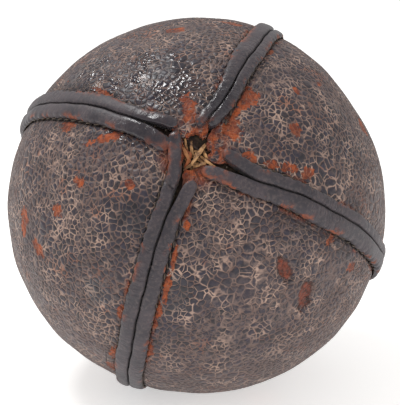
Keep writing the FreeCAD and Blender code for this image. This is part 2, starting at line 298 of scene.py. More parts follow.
# %% A gore cut from a ball
def whole_ball(name, radius, detail):
    """A ball of small, equal triangles round the ball's centre."""
    deselect()
    bpy.ops.mesh.primitive_ico_sphere_add(subdivisions=detail, radius=radius, location=CENTRE)
    bpy.ops.object.transform_apply(location=True, rotation=False, scale=False)
    return just_made(name)


def cut_gore(name, radius, detail, seam):
    """The slice of a ball between a seam and the one ahead."""
    piece = whole_ball(name, radius, detail)
    for edge, side in gore_edges(seam):
        place = seam_frame(edge, side)
        start = plane_offset(edge, side) + SPLIT / 2 + FOLD
        edit_all()
        bpy.ops.mesh.bisect(
            plane_co=place @ Vector((0, start, 0)), plane_no=sideways(place), clear_inner=True
        )
    object_mode()
    return piece


def polar(points):
    """Longitude round the front pole in radians, and distance from it along the cover."""
    local = inside(BALL, points)
    reach = np.linalg.norm(local, axis=1)
    longitude = np.arctan2(local[:, 1], local[:, 0])
    return longitude, RADIUS * np.arccos(np.clip(local[:, 2] / reach, -1, 1))


def tear_edge(longitude, size):
    """How far the torn opening reaches in each direction."""
    ragged = 0.16 * np.sin(3 * longitude + 0.6) + 0.11 * np.sin(7 * longitude + 2.1)
    ragged += 0.06 * np.sin(17 * longitude + 0.4) - 0.16 * np.cos(2 * longitude)
    ragged += 0.42 * np.maximum(np.cos(longitude - math.radians(78)), 0) ** 6
    return size * (1 + ragged)


def tear_open(piece, size):
    """Cuts the ragged opening at the front pole."""
    longitude, distance = polar(get_points(piece))
    edit_points(piece, distance < tear_edge(longitude, size))
    bpy.ops.mesh.delete(type="VERT")
    bpy.ops.mesh.select_all(action="SELECT")
    bpy.ops.mesh.delete_loose()
    object_mode()


def across_seam(points, seam, side):
    """Each point's distance from a seam's plane, to the binding's side, and its run along the seam."""
    local = inside(seam_frame(seam, side), points)
    angle = np.arctan2(local[:, 0], local[:, 2])
    run = RADIUS * (angle if side == AHEAD else math.pi - angle)
    run = np.where(run > 1.5 * math.pi * RADIUS, run - 2 * math.pi * RADIUS, run)
    return local[:, 1] - plane_offset(seam, side), run


# %% Stitch places
STITCH_PITCH, RUNG_PITCH = 7.5 * MM, 8 * MM


def stitch_pull(run, seam, side):
    """How hard the stitches pull at each place along a binding's outer edge, from 0 to 1."""
    phase = (run / STITCH_PITCH + 0.37 * ORDER.index(seam) + 0.5 * side) * 2 * math.pi
    uneven = 0.75 + 0.25 * np.sin(run / (23 * MM) + 1.7 * ORDER.index(seam) + side)
    return (0.5 + 0.5 * np.cos(phase)) ** 2 * uneven


def sew_down(points, seam):
    """Presses a gore in beside its two bindings, most of all at each stitch."""
    ways = outward(points)
    for edge, side in gore_edges(seam):
        across, run = across_seam(points, edge, side)
        past_edge = np.maximum(across - edge_place(edge, side, run), 0)
        depth = 0.6 * np.exp(-past_edge / (1.3 * MM)) + 0.35 * np.exp(-past_edge / (6 * MM))
        depth += 0.8 * stitch_pull(run, edge, side) * np.exp(-past_edge / (2.6 * MM))
        points = points - ways * (depth * MM)[:, None]
    return points


def close_up(points, seam):
    """Draws a gore's edges to the seam near the pole, where no binding parts them."""
    for edge, side in gore_edges(seam):
        across, run = across_seam(points, edge, side)
        torn_end = max(SEAMS[edge]["setback"][side], 0) * MM
        free = 1 - smoothstep(torn_end - 1 * MM, torn_end + 7 * MM, run)
        reach = np.exp(-np.maximum(across - SPLIT / 2 - FOLD, 0) / (6 * MM))
        ragged = 2.1 + 0.45 * np.sin(run / (2.1 * MM) + side) + 0.3 * np.sin(run / (0.9 * MM))
        way = np.array(sideways(seam_frame(edge, side)))
        points = points - (free * reach * ragged * MM)[:, None] * way
    return points


# %% Bare patches
# Where the finish has come off the leather. Each patch has the longitude and the distance of its middle,
# its half length away from the pole, its half width, both in millimetres, and a turn in degrees.
BARE_PATCHES = (
    (51, 54, 9.5, 7.5, 20), (34, 28, 8, 7, 60), (48, 36, 6, 3.5, 0), (17, 71, 4.5, 5, 0),
    (352, 77, 5, 4, 30), (354, 35, 4.5, 6, 10), (351, 49, 5, 3, 0), (352, 62, 6, 3.5, 0),
    (193, 150, 10, 6, 80), (205, 142, 4, 9, 0), (198, 107, 4, 5, 0), (191, 82, 5, 4, 0),
    (205, 48, 3, 3.5, 40), (263, 49, 4, 2, 0), (258, 73, 9, 2, 0), (257, 96, 10, 2.5, 0),
    (255, 115, 11, 3, 0), (255, 150, 9, 3, 0), (243, 125, 8, 3, 0), (244, 170, 9, 4, 0),
    (243, 197, 7, 4, 0), (162, 101, 8, 4, 0), (168, 62, 12, 3, 20), (142, 85, 11, 1.6, 0),
    (77, 140, 5, 8, 0), (98, 117, 4, 9, 0), (100, 30, 9, 5, 0), (150, 47, 9, 3, 0),
    (60, 110, 6, 3, 0), (37, 121, 4, 3, 0), (37, 92, 3, 3, 0), (333, 114, 3, 6, 0),
    (330, 150, 5, 4, 30), (20, 160, 7, 5, 50), (120, 200, 9, 6, 20),
    (30, 250, 8, 6, 0), (200, 230, 12, 5, 70), (290, 240, 9, 7, 30), (160, 300, 10, 6, 10),
    (70, 330, 9, 6, 40), (300, 330, 8, 7, 0), (230, 360, 7, 6, 60),
)
TORN_PATCHES = ((309, 99, 10.5, 5, -5), (311, 129, 12.5, 6.5, -38))


def patch_field(points, patches):
    """1 at the middle of the nearest patch, 0 at its outline and below 0 outside it."""
    local = inside(BALL, points)
    local /= np.linalg.norm(local, axis=1, keepdims=True)
    field = np.full(len(points), -3.0)
    for longitude, distance, length, width, turn in patches:
        round_pole, from_pole = math.radians(longitude), distance * MM / RADIUS
        out = Vector((math.cos(round_pole), math.sin(round_pole), 0))
        middle = out * math.sin(from_pole) + Vector((0, 0, math.cos(from_pole)))
        away = out * math.cos(from_pole) - Vector((0, 0, math.sin(from_pole)))
        round_it = middle.cross(away)
        spin = math.radians(turn)
        along = away * math.cos(spin) + round_it * math.sin(spin)
        across = round_it * math.cos(spin) - away * math.sin(spin)
        u = local @ np.array(along) * RADIUS / (length * MM)
        v = local @ np.array(across) * RADIUS / (width * MM)
        near = local @ np.array(middle) > 0
        field = np.where(near, np.maximum(field, 1 - np.hypot(u, v)), field)
    return field


def write_attribute(piece, name, values):
    """Stores a number for each vertex, for the materials to read."""
    layer = piece.data.attributes.new(name, "FLOAT", "POINT")
    layer.data.foreach_set("value", np.asarray(values, np.float32))


# %% Make the four gores
COVER_THICKNESS, COVER_TEAR = 3 * MM, 9.3 * MM
COVER_DETAIL = 8
cover_panels = {}
for seam in ORDER:
    piece = cut_gore(f"leather_gore_{PANELS[seam]}", RADIUS, COVER_DETAIL, seam)
    tear_open(piece, COVER_TEAR)
    points = get_points(piece)
    _, distance = polar(points)
    beside, along = np.full(len(points), 1.0), np.zeros(len(points))
    for edge, side in gore_edges(seam):
        across, run = across_seam(points, edge, side)
        past_edge = across - edge_place(edge, side, run)
        along = np.where(past_edge < beside, run + 0.5 * side, along)
        beside = np.minimum(beside, past_edge)
    write_attribute(piece, "bare", patch_field(points, BARE_PATCHES))
    write_attribute(piece, "torn", patch_field(points, TORN_PATCHES))
    write_attribute(piece, "beside_seam", beside / MM)
    write_attribute(piece, "along_seam", along / MM)
    write_attribute(piece, "from_pole", distance / MM)
    apply_modifier(piece, "SOLIDIFY", thickness=COVER_THICKNESS, offset=-1)
    points = get_points(piece)
    reach = np.linalg.norm(points - np.array(CENTRE), axis=1)
    write_attribute(piece, "outer", smoothstep(RADIUS - 2 * MM, RADIUS - 1 * MM, reach))
    set_points(piece, settle(sew_down(close_up(points, seam), seam)))
    cover_panels[seam] = piece
    print(piece.name, len(piece.data.vertices), "points")


# %% [markdown]
# ## The edge bindings
#
# A binding is a strip of leather folded round the gore's edge. Its section hardly changes, so it is
# drawn once and spun about the axis that stands square to the seam. Then the strip is worked:
# rounded at its torn end, opened away from the split, and pulled in at every stitch.

# %% The section of a folded strip
def binding_section():
    """Points round the section: distance across from the fold, and height over the cover."""
    crown = []
    for angle in np.linspace(0.0, math.pi, 15):
        side, up = math.cos(angle), math.sin(angle)
        across = 5.5 - 5.5 * math.copysign(abs(side) ** 0.6, side)
        low = 1.4 - 0.5 * across / 11
        crown.append((across, low + 2.3 * abs(up) ** 0.55 + 0.35 * up**2))
    edge = [(11.1, 0.45), (10.7, 0.12)]
    slot = [(8.4, 0.1), (5.4, 0.1), (2.5, 0.1), (2.4, -2.1), (2.5, -4.3), (5.4, -4.3), (8.6, -4.3)]
    leg = [(9.0, -4.9), (8.7, -6.2), (5.6, -6.3), (2.4, -6.3), (0.5, -6.1)]
    leg += [(0.0, -5.2), (0.0, -3.2), (0.0, -0.8)]
    return [(a * MM, h * MM) for a, h in crown + edge + slot + leg]


SECTION = binding_section()


def spin_binding(seam, side):
    """Spins the section round the seam, from the front pole's side to the rear pole."""
    place = seam_frame(seam, side)
    start = plane_offset(seam, side) + SPLIT / 2
    setback = SEAMS[seam]["setback"][side] * MM / RADIUS
    first = setback if side == AHEAD else 0.0
    last = math.pi if side == AHEAD else math.pi - setback
    deselect()
    bpy.ops.mesh.primitive_circle_add(vertices=len(SECTION), radius=1, location=(0, 0, 0))
    piece = just_made(f"folded_binding_{seam}_{SIDES[seam][side]}")
    points = []
    for across, height in SECTION:
        y = start + across
        r = math.sqrt((RADIUS + height) ** 2 - y**2)
        points.append(place @ Vector((r * math.sin(first), y, r * math.cos(first))))
    set_points(piece, np.array(points))
    edit_all()
    steps = round((last - first) * RADIUS / (1.4 * MM))
    bpy.ops.mesh.spin(steps=steps, angle=-(last - first), center=CENTRE, axis=sideways(place))
    bpy.ops.mesh.select_all(action="SELECT")
    bpy.ops.mesh.remove_doubles(threshold=0.01 * MM)
    close_holes()
    object_mode()
    return piece


def gather_caps(piece):
    """Closes any open end and turns all faces outwards."""
    pick(piece)
    edit_all()
    close_holes()
    bpy.ops.mesh.select_all(action="SELECT")
    bpy.ops.mesh.normals_make_consistent(inside=False)
    object_mode()


# %% Working the strip
CRACKED_STRIP, CRACK_AT = ("bottom", BEHIND), 27      # one strip has split across, this far along it


def work_binding(points, seam, side):
    """Opens, rolls off and puckers a spun strip. Returns its points and two wear values."""
    place = seam_frame(seam, side)
    local = inside(place, points)
    angle = np.arctan2(local[:, 0], local[:, 2])
    reach = np.linalg.norm(local, axis=1)
    offset = plane_offset(seam, side) + SPLIT / 2
    across = (local[:, 1] - offset) / MM
    height = (reach - RADIUS) / MM
    run = across_seam(points, seam, side)[1] / MM
    past_end = run - SEAMS[seam]["setback"][side]

    # The outer edge is puckered by the stitches, and the roll over it swells and narrows.
    pull = stitch_pull(run * MM, seam, side)
    outer = smoothstep(6.5, 11, across) * (height > -0.2)
    seed = ORDER.index(seam) * 2 + side
    uneven = np.sin(run / 9.1 + seed) * 0.5 + np.sin(run / 4.3 + 2.2 * seed) * 0.3
    across = across - outer * (0.8 * pull + 0.5 * uneven)
    height = height - outer * 0.5 * pull * (height > 0.15)
    swell_of_roll = 1 + 0.10 * np.sin(run / 17 + 1.3 * seed) + 0.06 * np.sin(run / 6.1 + seed)
    height = np.where(height > 0.2, height * swell_of_roll, height)
    width = strip_width(seam, side, run * MM)
    across = across * width * (1 + 0.04 * np.sin(run / 31 + 0.7 * seed))
    height = np.where(height > 0.2, height * (0.7 + 0.3 * width), height)

    if (seam, side) == CRACKED_STRIP:
        crack = np.exp(-(((run - CRACK_AT + 0.5 * (across - 5)) / 1.1) ** 2))
        height = height - 2.3 * crack * (height > 0.3)

    # The torn end is rounded off, drawn away from the split, and the whole strip wanders a little.
    end = np.clip(past_end / 7.0, 0, 1)
    rounding = np.sqrt(1 - (1 - end) ** 2) * 0.93 + 0.07
    across = 5.0 * width + (across - 5.0 * width) * rounding
    height = np.where(height > 0.2, 0.1 + (height - 0.1) * (0.35 + 0.65 * rounding), height)
    opening = SEAMS[seam]["flare"][side] * (1 - smoothstep(0, 34, past_end)) ** 1.5
    number = ORDER.index(seam)
    common = 0.45 * np.sin(run / 27 + number) + 0.3 * np.sin(run / 9.3 + 2 * number)
    common = (common + 0.16 * np.sin(run / 3.1 + number)) * (1 if side == AHEAD else -1)
    common = common + bow(seam, side, run * MM) / MM
    across = across + opening + common

    wear = np.clip(outer + (1 - smoothstep(0, 9, past_end)), 0, 1)
    crest = smoothstep(2.2, 4.2, height)
    y = offset + across * MM
    r = np.sqrt(np.maximum((RADIUS + height * MM) ** 2 - y**2, 0))
    local = np.stack([r * np.sin(angle), y, r * np.cos(angle)], axis=1)
    return outside(place, local), wear, crest


# %% The mitre at the rear pole
def mitre(piece, seam, side):
    """Cuts a strip where it meets the one that binds the gore's other edge."""
    owner, span = gore_beside(seam, side)
    middle = math.radians(SEAMS[owner]["longitude"] + span / 2)
    normal = sideways(BALL @ Matrix.Rotation(middle, 4, "Z"))
    edit_points(piece, inside(BALL, get_points(piece))[:, 2] < 0)
    bpy.ops.mesh.bisect(
        plane_co=CENTRE, plane_no=normal, use_fill=True,
        clear_outer=side == AHEAD, clear_inner=side == BEHIND,
    )
    object_mode()


# %% Make the eight bindings
bindings = {}
for seam in ORDER:
    for side in (AHEAD, BEHIND):
        piece = spin_binding(seam, side)
        mitre(piece, seam, side)
        gather_caps(piece)
        points, wear, crest = work_binding(get_points(piece), seam, side)
        write_attribute(piece, "wear", wear)
        write_attribute(piece, "crest", crest)
        write_attribute(piece, "from_pole", polar(points)[1] / MM)
        across, run = across_seam(points, seam, side)
        write_attribute(piece, "beside_seam", across / MM)
        write_attribute(piece, "along_seam", run / MM + 500 * side)
        set_points(piece, settle(points))
        bindings[seam, side] = piece
        print(piece.name, len(piece.data.vertices), "points")


# %% [markdown]
# ## Thread
#
# The binding stitches show as short bars of waxed thread in the dents along each binding's outer edge.
# The closing stitches tie the two folds together down in the split. One stitch is modelled and copied.

# %% One stitch
def one_stitch(radius, length):
    """A bar of thread along X, rounded at its ends."""
    deselect()
    lying = (0, math.pi / 2, 0)
    bpy.ops.mesh.primitive_cylinder_add(vertices=8, radius=radius, depth=length, rotation=lying)
    piece = bpy.context.object
    bpy.ops.object.transform_apply(location=True, rotation=True, scale=True)
    ends_only = {"limit_method": "ANGLE", "angle_limit": math.radians(60)}
    apply_modifier(piece, "BEVEL", width=radius * 0.5, segments=1, **ends_only)
    return piece


def join(parts, name):
    """Joins some pieces into one, under a name of its own."""
    deselect()
    for part in parts:
        part.select_set(True)
    bpy.context.view_layer.objects.active = parts[0]
    bpy.ops.object.join()
    return just_made(name)


def copy_along(pattern, name, frames):
    """One piece made of copies of a pattern, each put in place by its own frame."""
    copies = []
    for where in frames:
        copy = pattern.copy()
        copy.data = pattern.data.copy()
        copy.data.transform(where)
        bpy.context.scene.collection.objects.link(copy)
        copies.append(copy)
    return join(copies, name)


def binding_stitch_frames(seam, side):
    """Where each stitch of a row lies: in the dents of the binding's outer edge."""
    place = seam_frame(seam, side)
    span = math.radians(gore_beside(seam, side)[1])
    setback = SEAMS[seam]["setback"][side] * MM
    shift = 0.37 * ORDER.index(seam) + 0.5 * side
    last = math.pi * RADIUS - (BINDING_WIDTH + 2 * MM) / math.tan(span / 2) - 4 * MM
    frames = []
    for number in range(int(last / STITCH_PITCH) + 2):
        run = (number - shift) * STITCH_PITCH
        if not setback + 5 * MM < run < last:
            continue
        angle = run / RADIUS if side == AHEAD else math.pi - run / RADIUS
        y = plane_offset(seam, side) + edge_place(seam, side, run) - 0.35 * MM
        r = math.sqrt((RADIUS + 0.25 * MM) ** 2 - y**2)
        slant = 0.35 if number % 2 else 0.2
        where = place @ Matrix.Rotation(angle, 4, "Y") @ Matrix.Translation((0, y, r))
        where = where @ Matrix.Rotation(slant, 4, "Z")
        if where.translation.z > 2.5 * MM:
            frames.append(where)
    return frames


def closing_stitch_frames(seam):
    """Where each rung of the ladder crosses the split."""
    place = seam_frame(seam, AHEAD)
    frames = []
    run = max(SEAMS[seam]["setback"]) * MM + 6 * MM
    while run < math.pi * RADIUS - 8 * MM:
        where = place @ Matrix.Rotation(run / RADIUS, 4, "Y")
        where = where @ Matrix.Translation((0, plane_offset(seam, AHEAD), RADIUS - 0.9 * MM))
        frames.append(where @ Matrix.Rotation(math.pi / 2, 4, "Z"))
        run += RUNG_PITCH
    return frames


# %% Sew every row
stitch = one_stitch(radius=0.55 * MM, length=4.2 * MM)
rung = one_stitch(radius=0.45 * MM, length=1.3 * MM)
threads = {}
for seam in ORDER:
    for side in (AHEAD, BEHIND):
        name = f"binding_thread_{seam}_{SIDES[seam][side]}"
        threads[seam, side] = copy_along(stitch, name, binding_stitch_frames(seam, side))
    threads[seam, None] = copy_along(rung, f"closing_thread_{seam}", closing_stitch_frames(seam))
for piece in threads.values():
    set_points(piece, settle(get_points(piece)))
for pattern in (stitch, rung):
    bpy.data.objects.remove(pattern)
print("rows of thread:", len(threads))


# %% [markdown]
# ## Lining, stuffing and straw
#
# Behind the leather are canvas gores, and inside them packed straw. Only a little of it shows, in the
# torn pole.

# %% Canvas lining
LINING_RADIUS, LINING_THICKNESS, LINING_TEAR = RADIUS - 3.3 * MM, 0.8 * MM, 10.5 * MM
LINING_DETAIL = 6
linings = {}
for seam in ORDER:
    piece = cut_gore(f"canvas_gore_{PANELS[seam]}", LINING_RADIUS, LINING_DETAIL, seam)
    tear_open(piece, LINING_TEAR)
    apply_modifier(piece, "SOLIDIFY", thickness=LINING_THICKNESS, offset=-1)
    set_points(piece, settle(get_points(piece)))
    linings[seam] = piece
print("linings:", len(linings))

# %% Stuffing
STUFFING_RADIUS, STUFFING_DETAIL = RADIUS - 7.2 * MM, 7
packed = whole_ball("packed_stuffing", STUFFING_RADIUS, STUFFING_DETAIL)
TUFTS = waves(40, 7 * MM)
points = get_points(packed)
points = points - outward(points) * (0.7 * MM + 0.6 * MM * swell(points, TUFTS))[:, None]
set_points(packed, settle(points))
print("stuffing:", len(points), "points")


# %% Loose straw
def one_straw(length, width, bend, twist):
    """A flat, bent stalk along X, its middle at the origin, with ragged ends."""
    deselect()
    bpy.ops.mesh.primitive_cylinder_add(vertices=10, radius=width / 2, depth=length)
    piece = bpy.context.object
    for cut in range(1, 9):
        edit_all()
        bpy.ops.mesh.bisect(plane_co=(0, 0, length * (cut / 9 - 0.5)), plane_no=(0, 0, 1))
    object_mode()
    points = get_points(piece)
    along = points[:, 2] / length
    side, thick = points[:, 1] * (1 - 1.6 * along**2), points[:, 0] * 0.34
    turn = twist * along
    flat = side * np.cos(turn) - thick * np.sin(turn)
    up = side * np.sin(turn) + thick * np.cos(turn)
    crease = 0.12 * MM * np.sin(along * 19 + width * 9000)
    ragged = 1 + 0.10 * np.sin(points[:, 1] / width * 9)
    points = [along * length * ragged, flat + bend * along**2 + crease, up - 7 * MM * along**2]
    set_points(piece, np.stack(points, axis=1))
    edit_all()
    bpy.ops.mesh.normals_make_consistent(inside=False)
    object_mode()
    return piece


def lay_straw(stalk, x, y, height, heading, pitch, roll, age):
    """Lays a stalk in the opening, x and y from the pole, and stores how old and brown it is."""
    where = BALL @ Matrix.Translation((x * MM, y * MM, STUFFING_RADIUS + height * MM))
    where = where @ Matrix.Rotation(heading, 4, "Z") @ Matrix.Rotation(pitch, 4, "Y")
    stalk.data.transform(where @ Matrix.Rotation(roll, 4, "X"))
    write_attribute(stalk, "age", np.full(len(stalk.data.vertices), age))
    straws.append(stalk)


# The stalks on top: place, length, width, heading in degrees, height and age.
TOP_STRAWS = (
    (1.6, -1.4, 17, 3.1, 58, 6.6, 0.35), (7.0, -6.6, 12, 1.9, -42, 5.6, 0.30),
    (3.3, -8.4, 11, 2.3, 20, 5.4, 0.38), (-6.6, -0.8, 13, 2.6, -66, 5.6, 0.72),
    (-3.1, 3.0, 10, 2.0, 97, 5.0, 0.45), (5.9, -1.8, 9, 2.0, 112, 4.8, 0.35),
    (-3.2, -8.6, 11, 2.2, 26, 4.6, 0.55), (-0.8, -4.6, 13, 2.2, 78, 5.0, 0.42),
    (2.2, -5.2, 12, 2.0, 140, 4.6, 0.40), (-4.6, -4.4, 13, 2.4, 70, 5.0, 0.80),
)
straws = []
for x, y, length, width, heading, height, age in TOP_STRAWS:
    stalk = one_straw(length * MM, width * MM, rng.uniform(-4, 4) * MM, rng.uniform(-1, 1))
    turns = math.radians(heading), rng.uniform(-0.12, 0.12), rng.uniform(-0.4, 0.4)
    lay_straw(stalk, x, y, height, *turns, age)
COUNT = 34
GOLDEN_ANGLE = 2.399963                          # spreads the stalks evenly
for number in range(COUNT):
    fan = number * GOLDEN_ANGLE
    out = 10 * math.sqrt((number + 0.5) / COUNT)
    x, y = out * math.cos(fan), 1.2 * out * math.sin(fan)
    height = rng.uniform(0.6, 3.6)
    if math.hypot(x - 2.3, y - 9) < 6:           # a dark hole stays open at the top
        height -= 7
    stalk = one_straw(
        rng.uniform(9, 16) * MM, rng.uniform(1.4, 2.4) * MM, rng.uniform(-5, 5) * MM, rng.uniform(-1.5, 1.5)
    )
    turns = rng.uniform(0, math.pi), rng.uniform(-0.28, 0.28), rng.uniform(-0.6, 0.6)
    lay_straw(stalk, x, y, height, *turns, rng.uniform(0, 0.75) ** 1.5)
straw = join(straws, "loose_stalks")
set_points(straw, settle(get_points(straw)))
print("straw:", len(straw.data.vertices), "points")


# %% [markdown]
# ## Nodes by code
#
# The crackle is needed twice: as relief, which Geometry Nodes press into the mesh, and as colour, which
# the material paints. Noise and Voronoi nodes give the same answer in both kinds of tree, so one recipe
# keeps the paint in the cracks.

# %% Helpers for both kinds of tree
in_hand = []                                     # its last entry is the node tree that is being built


def colour(code):
    """A hex colour as linear red, green, blue and alpha."""
    parts = [int(code[i:i + 2], 16) / 255 for i in (1, 3, 5)]
    return [c / 12.92 if c <= 0.04045 else ((c + 0.055) / 1.055) ** 2.4 for c in parts] + [1.0]


def add_node(kind, inputs=None, **settings):
    """A new node with its settings. Each input is a fixed value or another node's output."""
    tree = in_hand[-1]
    node = tree.nodes.new(kind)
    for key, value in settings.items():
        setattr(node, key, value)
    for key, value in (inputs or {}).items():
        if isinstance(value, bpy.types.NodeSocket):
            tree.links.new(value, node.inputs[key])
        else:
            node.inputs[key].default_value = value
    return node


def calc(operation, first, second):
    return add_node("ShaderNodeMath", {0: first, 1: second}, operation=operation).outputs[0]


def times(first, second):
    return calc("MULTIPLY", first, second)


def either(first, second):
    return calc("MAXIMUM", first, second)


def less(first, second):
    return calc("SUBTRACT", first, second)


def vector_math(operation, inputs):
    return add_node("ShaderNodeVectorMath", inputs, operation=operation).outputs[0]


def mix(amount, under, over):
    """One number over another."""
    return add_node("ShaderNodeMix", {0: amount, 2: under, 3: over}).outputs[0]


def remap(value, low, high, low_out=0.0, high_out=1.0):
    """Turns low..high into low_out..high_out, with soft ends."""
    inputs = {"Value": value, "From Min": low, "From Max": high, "To Min": low_out, "To Max": high_out}
    return add_node("ShaderNodeMapRange", inputs, interpolation_type="SMOOTHSTEP").outputs[0]


def paint(amount, under, over):
    """One colour over another. A colour is a hex code or another node's output."""
    under, over = (colour(c) if isinstance(c, str) else c for c in (under, over))
    inputs = {0: amount, 6: under, 7: over}
    return add_node("ShaderNodeMix", inputs, data_type="RGBA").outputs[2]


def noise(place, scale, detail=3.0, roughness=0.5, output=0):
    inputs = {"Vector": place, "Scale": scale, "Detail": detail, "Roughness": roughness}
    return add_node("ShaderNodeTexNoise", inputs).outputs[output]


def blotches(place, texture, *limits):
    """Noise of a scale, detail and roughness, remapped to the limits."""
    return remap(noise(place, *texture), *limits)


def cells(place, scale, feature="DISTANCE_TO_EDGE", output=0):
    inputs = {"Vector": place, "Scale": scale}
    return add_node("ShaderNodeTexVoronoi", inputs, feature=feature).outputs[output]


def own_place():
    """Where the point lies: Position in Geometry Nodes, Object coordinates in a material."""
    if in_hand[-1].bl_idname == "GeometryNodeTree":
        return add_node("GeometryNodeInputPosition").outputs[0]
    return add_node("ShaderNodeTexCoord").outputs["Object"]


def stored(name):
    """A number that write_attribute stored."""
    if in_hand[-1].bl_idname == "GeometryNodeTree":
        return add_node("GeometryNodeInputNamedAttribute", {"Name": name}).outputs[0]
    return add_node("ShaderNodeAttribute", attribute_name=name).outputs["Fac"]


# %% The crackle recipe
LARGE, SMALL_CELLS = 160, 250      # cells per metre: a large cell is about 6 mm, a small one about 4 mm


def crackle(place):
    """Crack depth (1 in a crack), how far cracks have opened, each cell's tone, and its dome."""
    drift = vector_math("SUBTRACT", {0: noise(place, 110, 2, output=1), 1: (0.5, 0.5, 0.5)})
    drift = vector_math("SCALE", {0: drift, 3: 5 * MM})
    moved = vector_math("ADD", {0: place, 1: drift})
    large, small = cells(moved, LARGE), cells(moved, SMALL_CELLS)
    merged = blotches(place, (24, 3, 0.6), 0.57, 0.60)
    thick = blotches(place, (170, 3, 0.6), 0.3, 0.7, 0.07, 0.21)
    large_crack = remap(large, 0.01, times(thick, 0.75), 1.0, 0.0)
    small_crack = remap(small, 0.015, thick, 1.0, 0.0)
    cracks = mix(merged, small_crack, large_crack)
    dome = mix(merged, small, large)
    opened = blotches(place, (31, 3, 0.6), 0.34, 0.58, 0.5, 1.0)
    tone = cells(moved, SMALL_CELLS, "F1", 1)
    return cracks, opened, tone, remap(dome, 0.0, 0.34)


def seam_streaks(along, across):
    """Noise drawn out along or across the nearest seam. The scales are per millimetre."""
    inputs = {
        0: times(stored("along_seam"), along),
        1: times(stored("beside_seam"), across),
    }
    where = add_node("ShaderNodeCombineXYZ", inputs).outputs[0]
    return noise(where, 1.0, 3, 0.6)


def patch_mask(place, name, ragged=2.0):
    """1 inside a patch, with an outline broken up by noise."""
    broken = times(less(noise(place, 120, 5, 0.7), 0.5), ragged * 2)
    return remap(calc("ADD", stored(name), broken), -0.06, 0.10)


# %% Press the crackle into the gores
CRACK_DEPTH, BARE_DEPTH, TORN_DEPTH = 0.4 * MM, 0.30 * MM, 1.3 * MM


def relief_tree():
    """Geometry Nodes that push the outer skin in along the cracks."""
    tree = bpy.data.node_groups.new("crackle_relief", "GeometryNodeTree")
    in_hand.append(tree)
    tree.interface.new_socket("Geometry", in_out="INPUT", socket_type="NodeSocketGeometry")
    tree.interface.new_socket("Geometry", in_out="OUTPUT", socket_type="NodeSocketGeometry")
    source, result = add_node("NodeGroupInput"), add_node("NodeGroupOutput")
    place = own_place()
    cracks, opened, _, _ = crackle(place)
    depth = times(times(cracks, opened), CRACK_DEPTH)
    bare = times(patch_mask(place, "bare"), BARE_DEPTH)
    torn = times(patch_mask(place, "torn", 1.3), TORN_DEPTH)
    depth = calc("ADD", either(depth, bare), torn)
    depth = times(depth, stored("outer"))
    way = vector_math("NORMALIZE", {0: vector_math("SUBTRACT", {0: tuple(CENTRE), 1: place})})
    push = vector_math("SCALE", {0: way, 3: depth})
    moved = add_node("GeometryNodeSetPosition", {"Geometry": source.outputs[0], "Offset": push})
    tree.links.new(moved.outputs[0], result.inputs[0])
    return tree


relief = relief_tree()
for piece in cover_panels.values():
    deselect()
    apply_modifier(piece, "NODES", node_group=relief)
print("crackle pressed into", len(cover_panels), "gores")


# %% [markdown]
# ## Leather
#
# The finish is a dark blue-grey coat, crazed into cells. Brown hide shows in the cracks, dust lies on it
# in drifts, and where the coat has come off the hide is rust orange. The coat shines where hands have
# polished it, and the bare hide is dull.

# %% A material to start from
def new_material(name, **fixed):
    """A material with its tree in hand, its shader with some sockets set, and its place."""
    material = bpy.data.materials.new(name)
    material.use_nodes = True
    in_hand.append(material.node_tree)
    shader = material.node_tree.nodes["Principled BSDF"]
    for key, value in fixed.items():
        shader.inputs[key.replace("_", " ")].default_value = value
    return material, shader, own_place()


def finish_surface(shader, base, roughness, heights):
    """Connects colour and roughness, and a chain of bumps, each with a height and its depth."""
    tree = in_hand[-1]
    tree.links.new(base, shader.inputs["Base Color"])
    tree.links.new(roughness, shader.inputs["Roughness"])
    normal = None
    for height, depth in heights:
        inputs = {"Height": height, "Distance": depth, "Strength": 1.0}
        if normal is not None:
            inputs["Normal"] = normal
        normal = add_node("ShaderNodeBump", inputs).outputs[0]
    tree.links.new(normal, shader.inputs["Normal"])


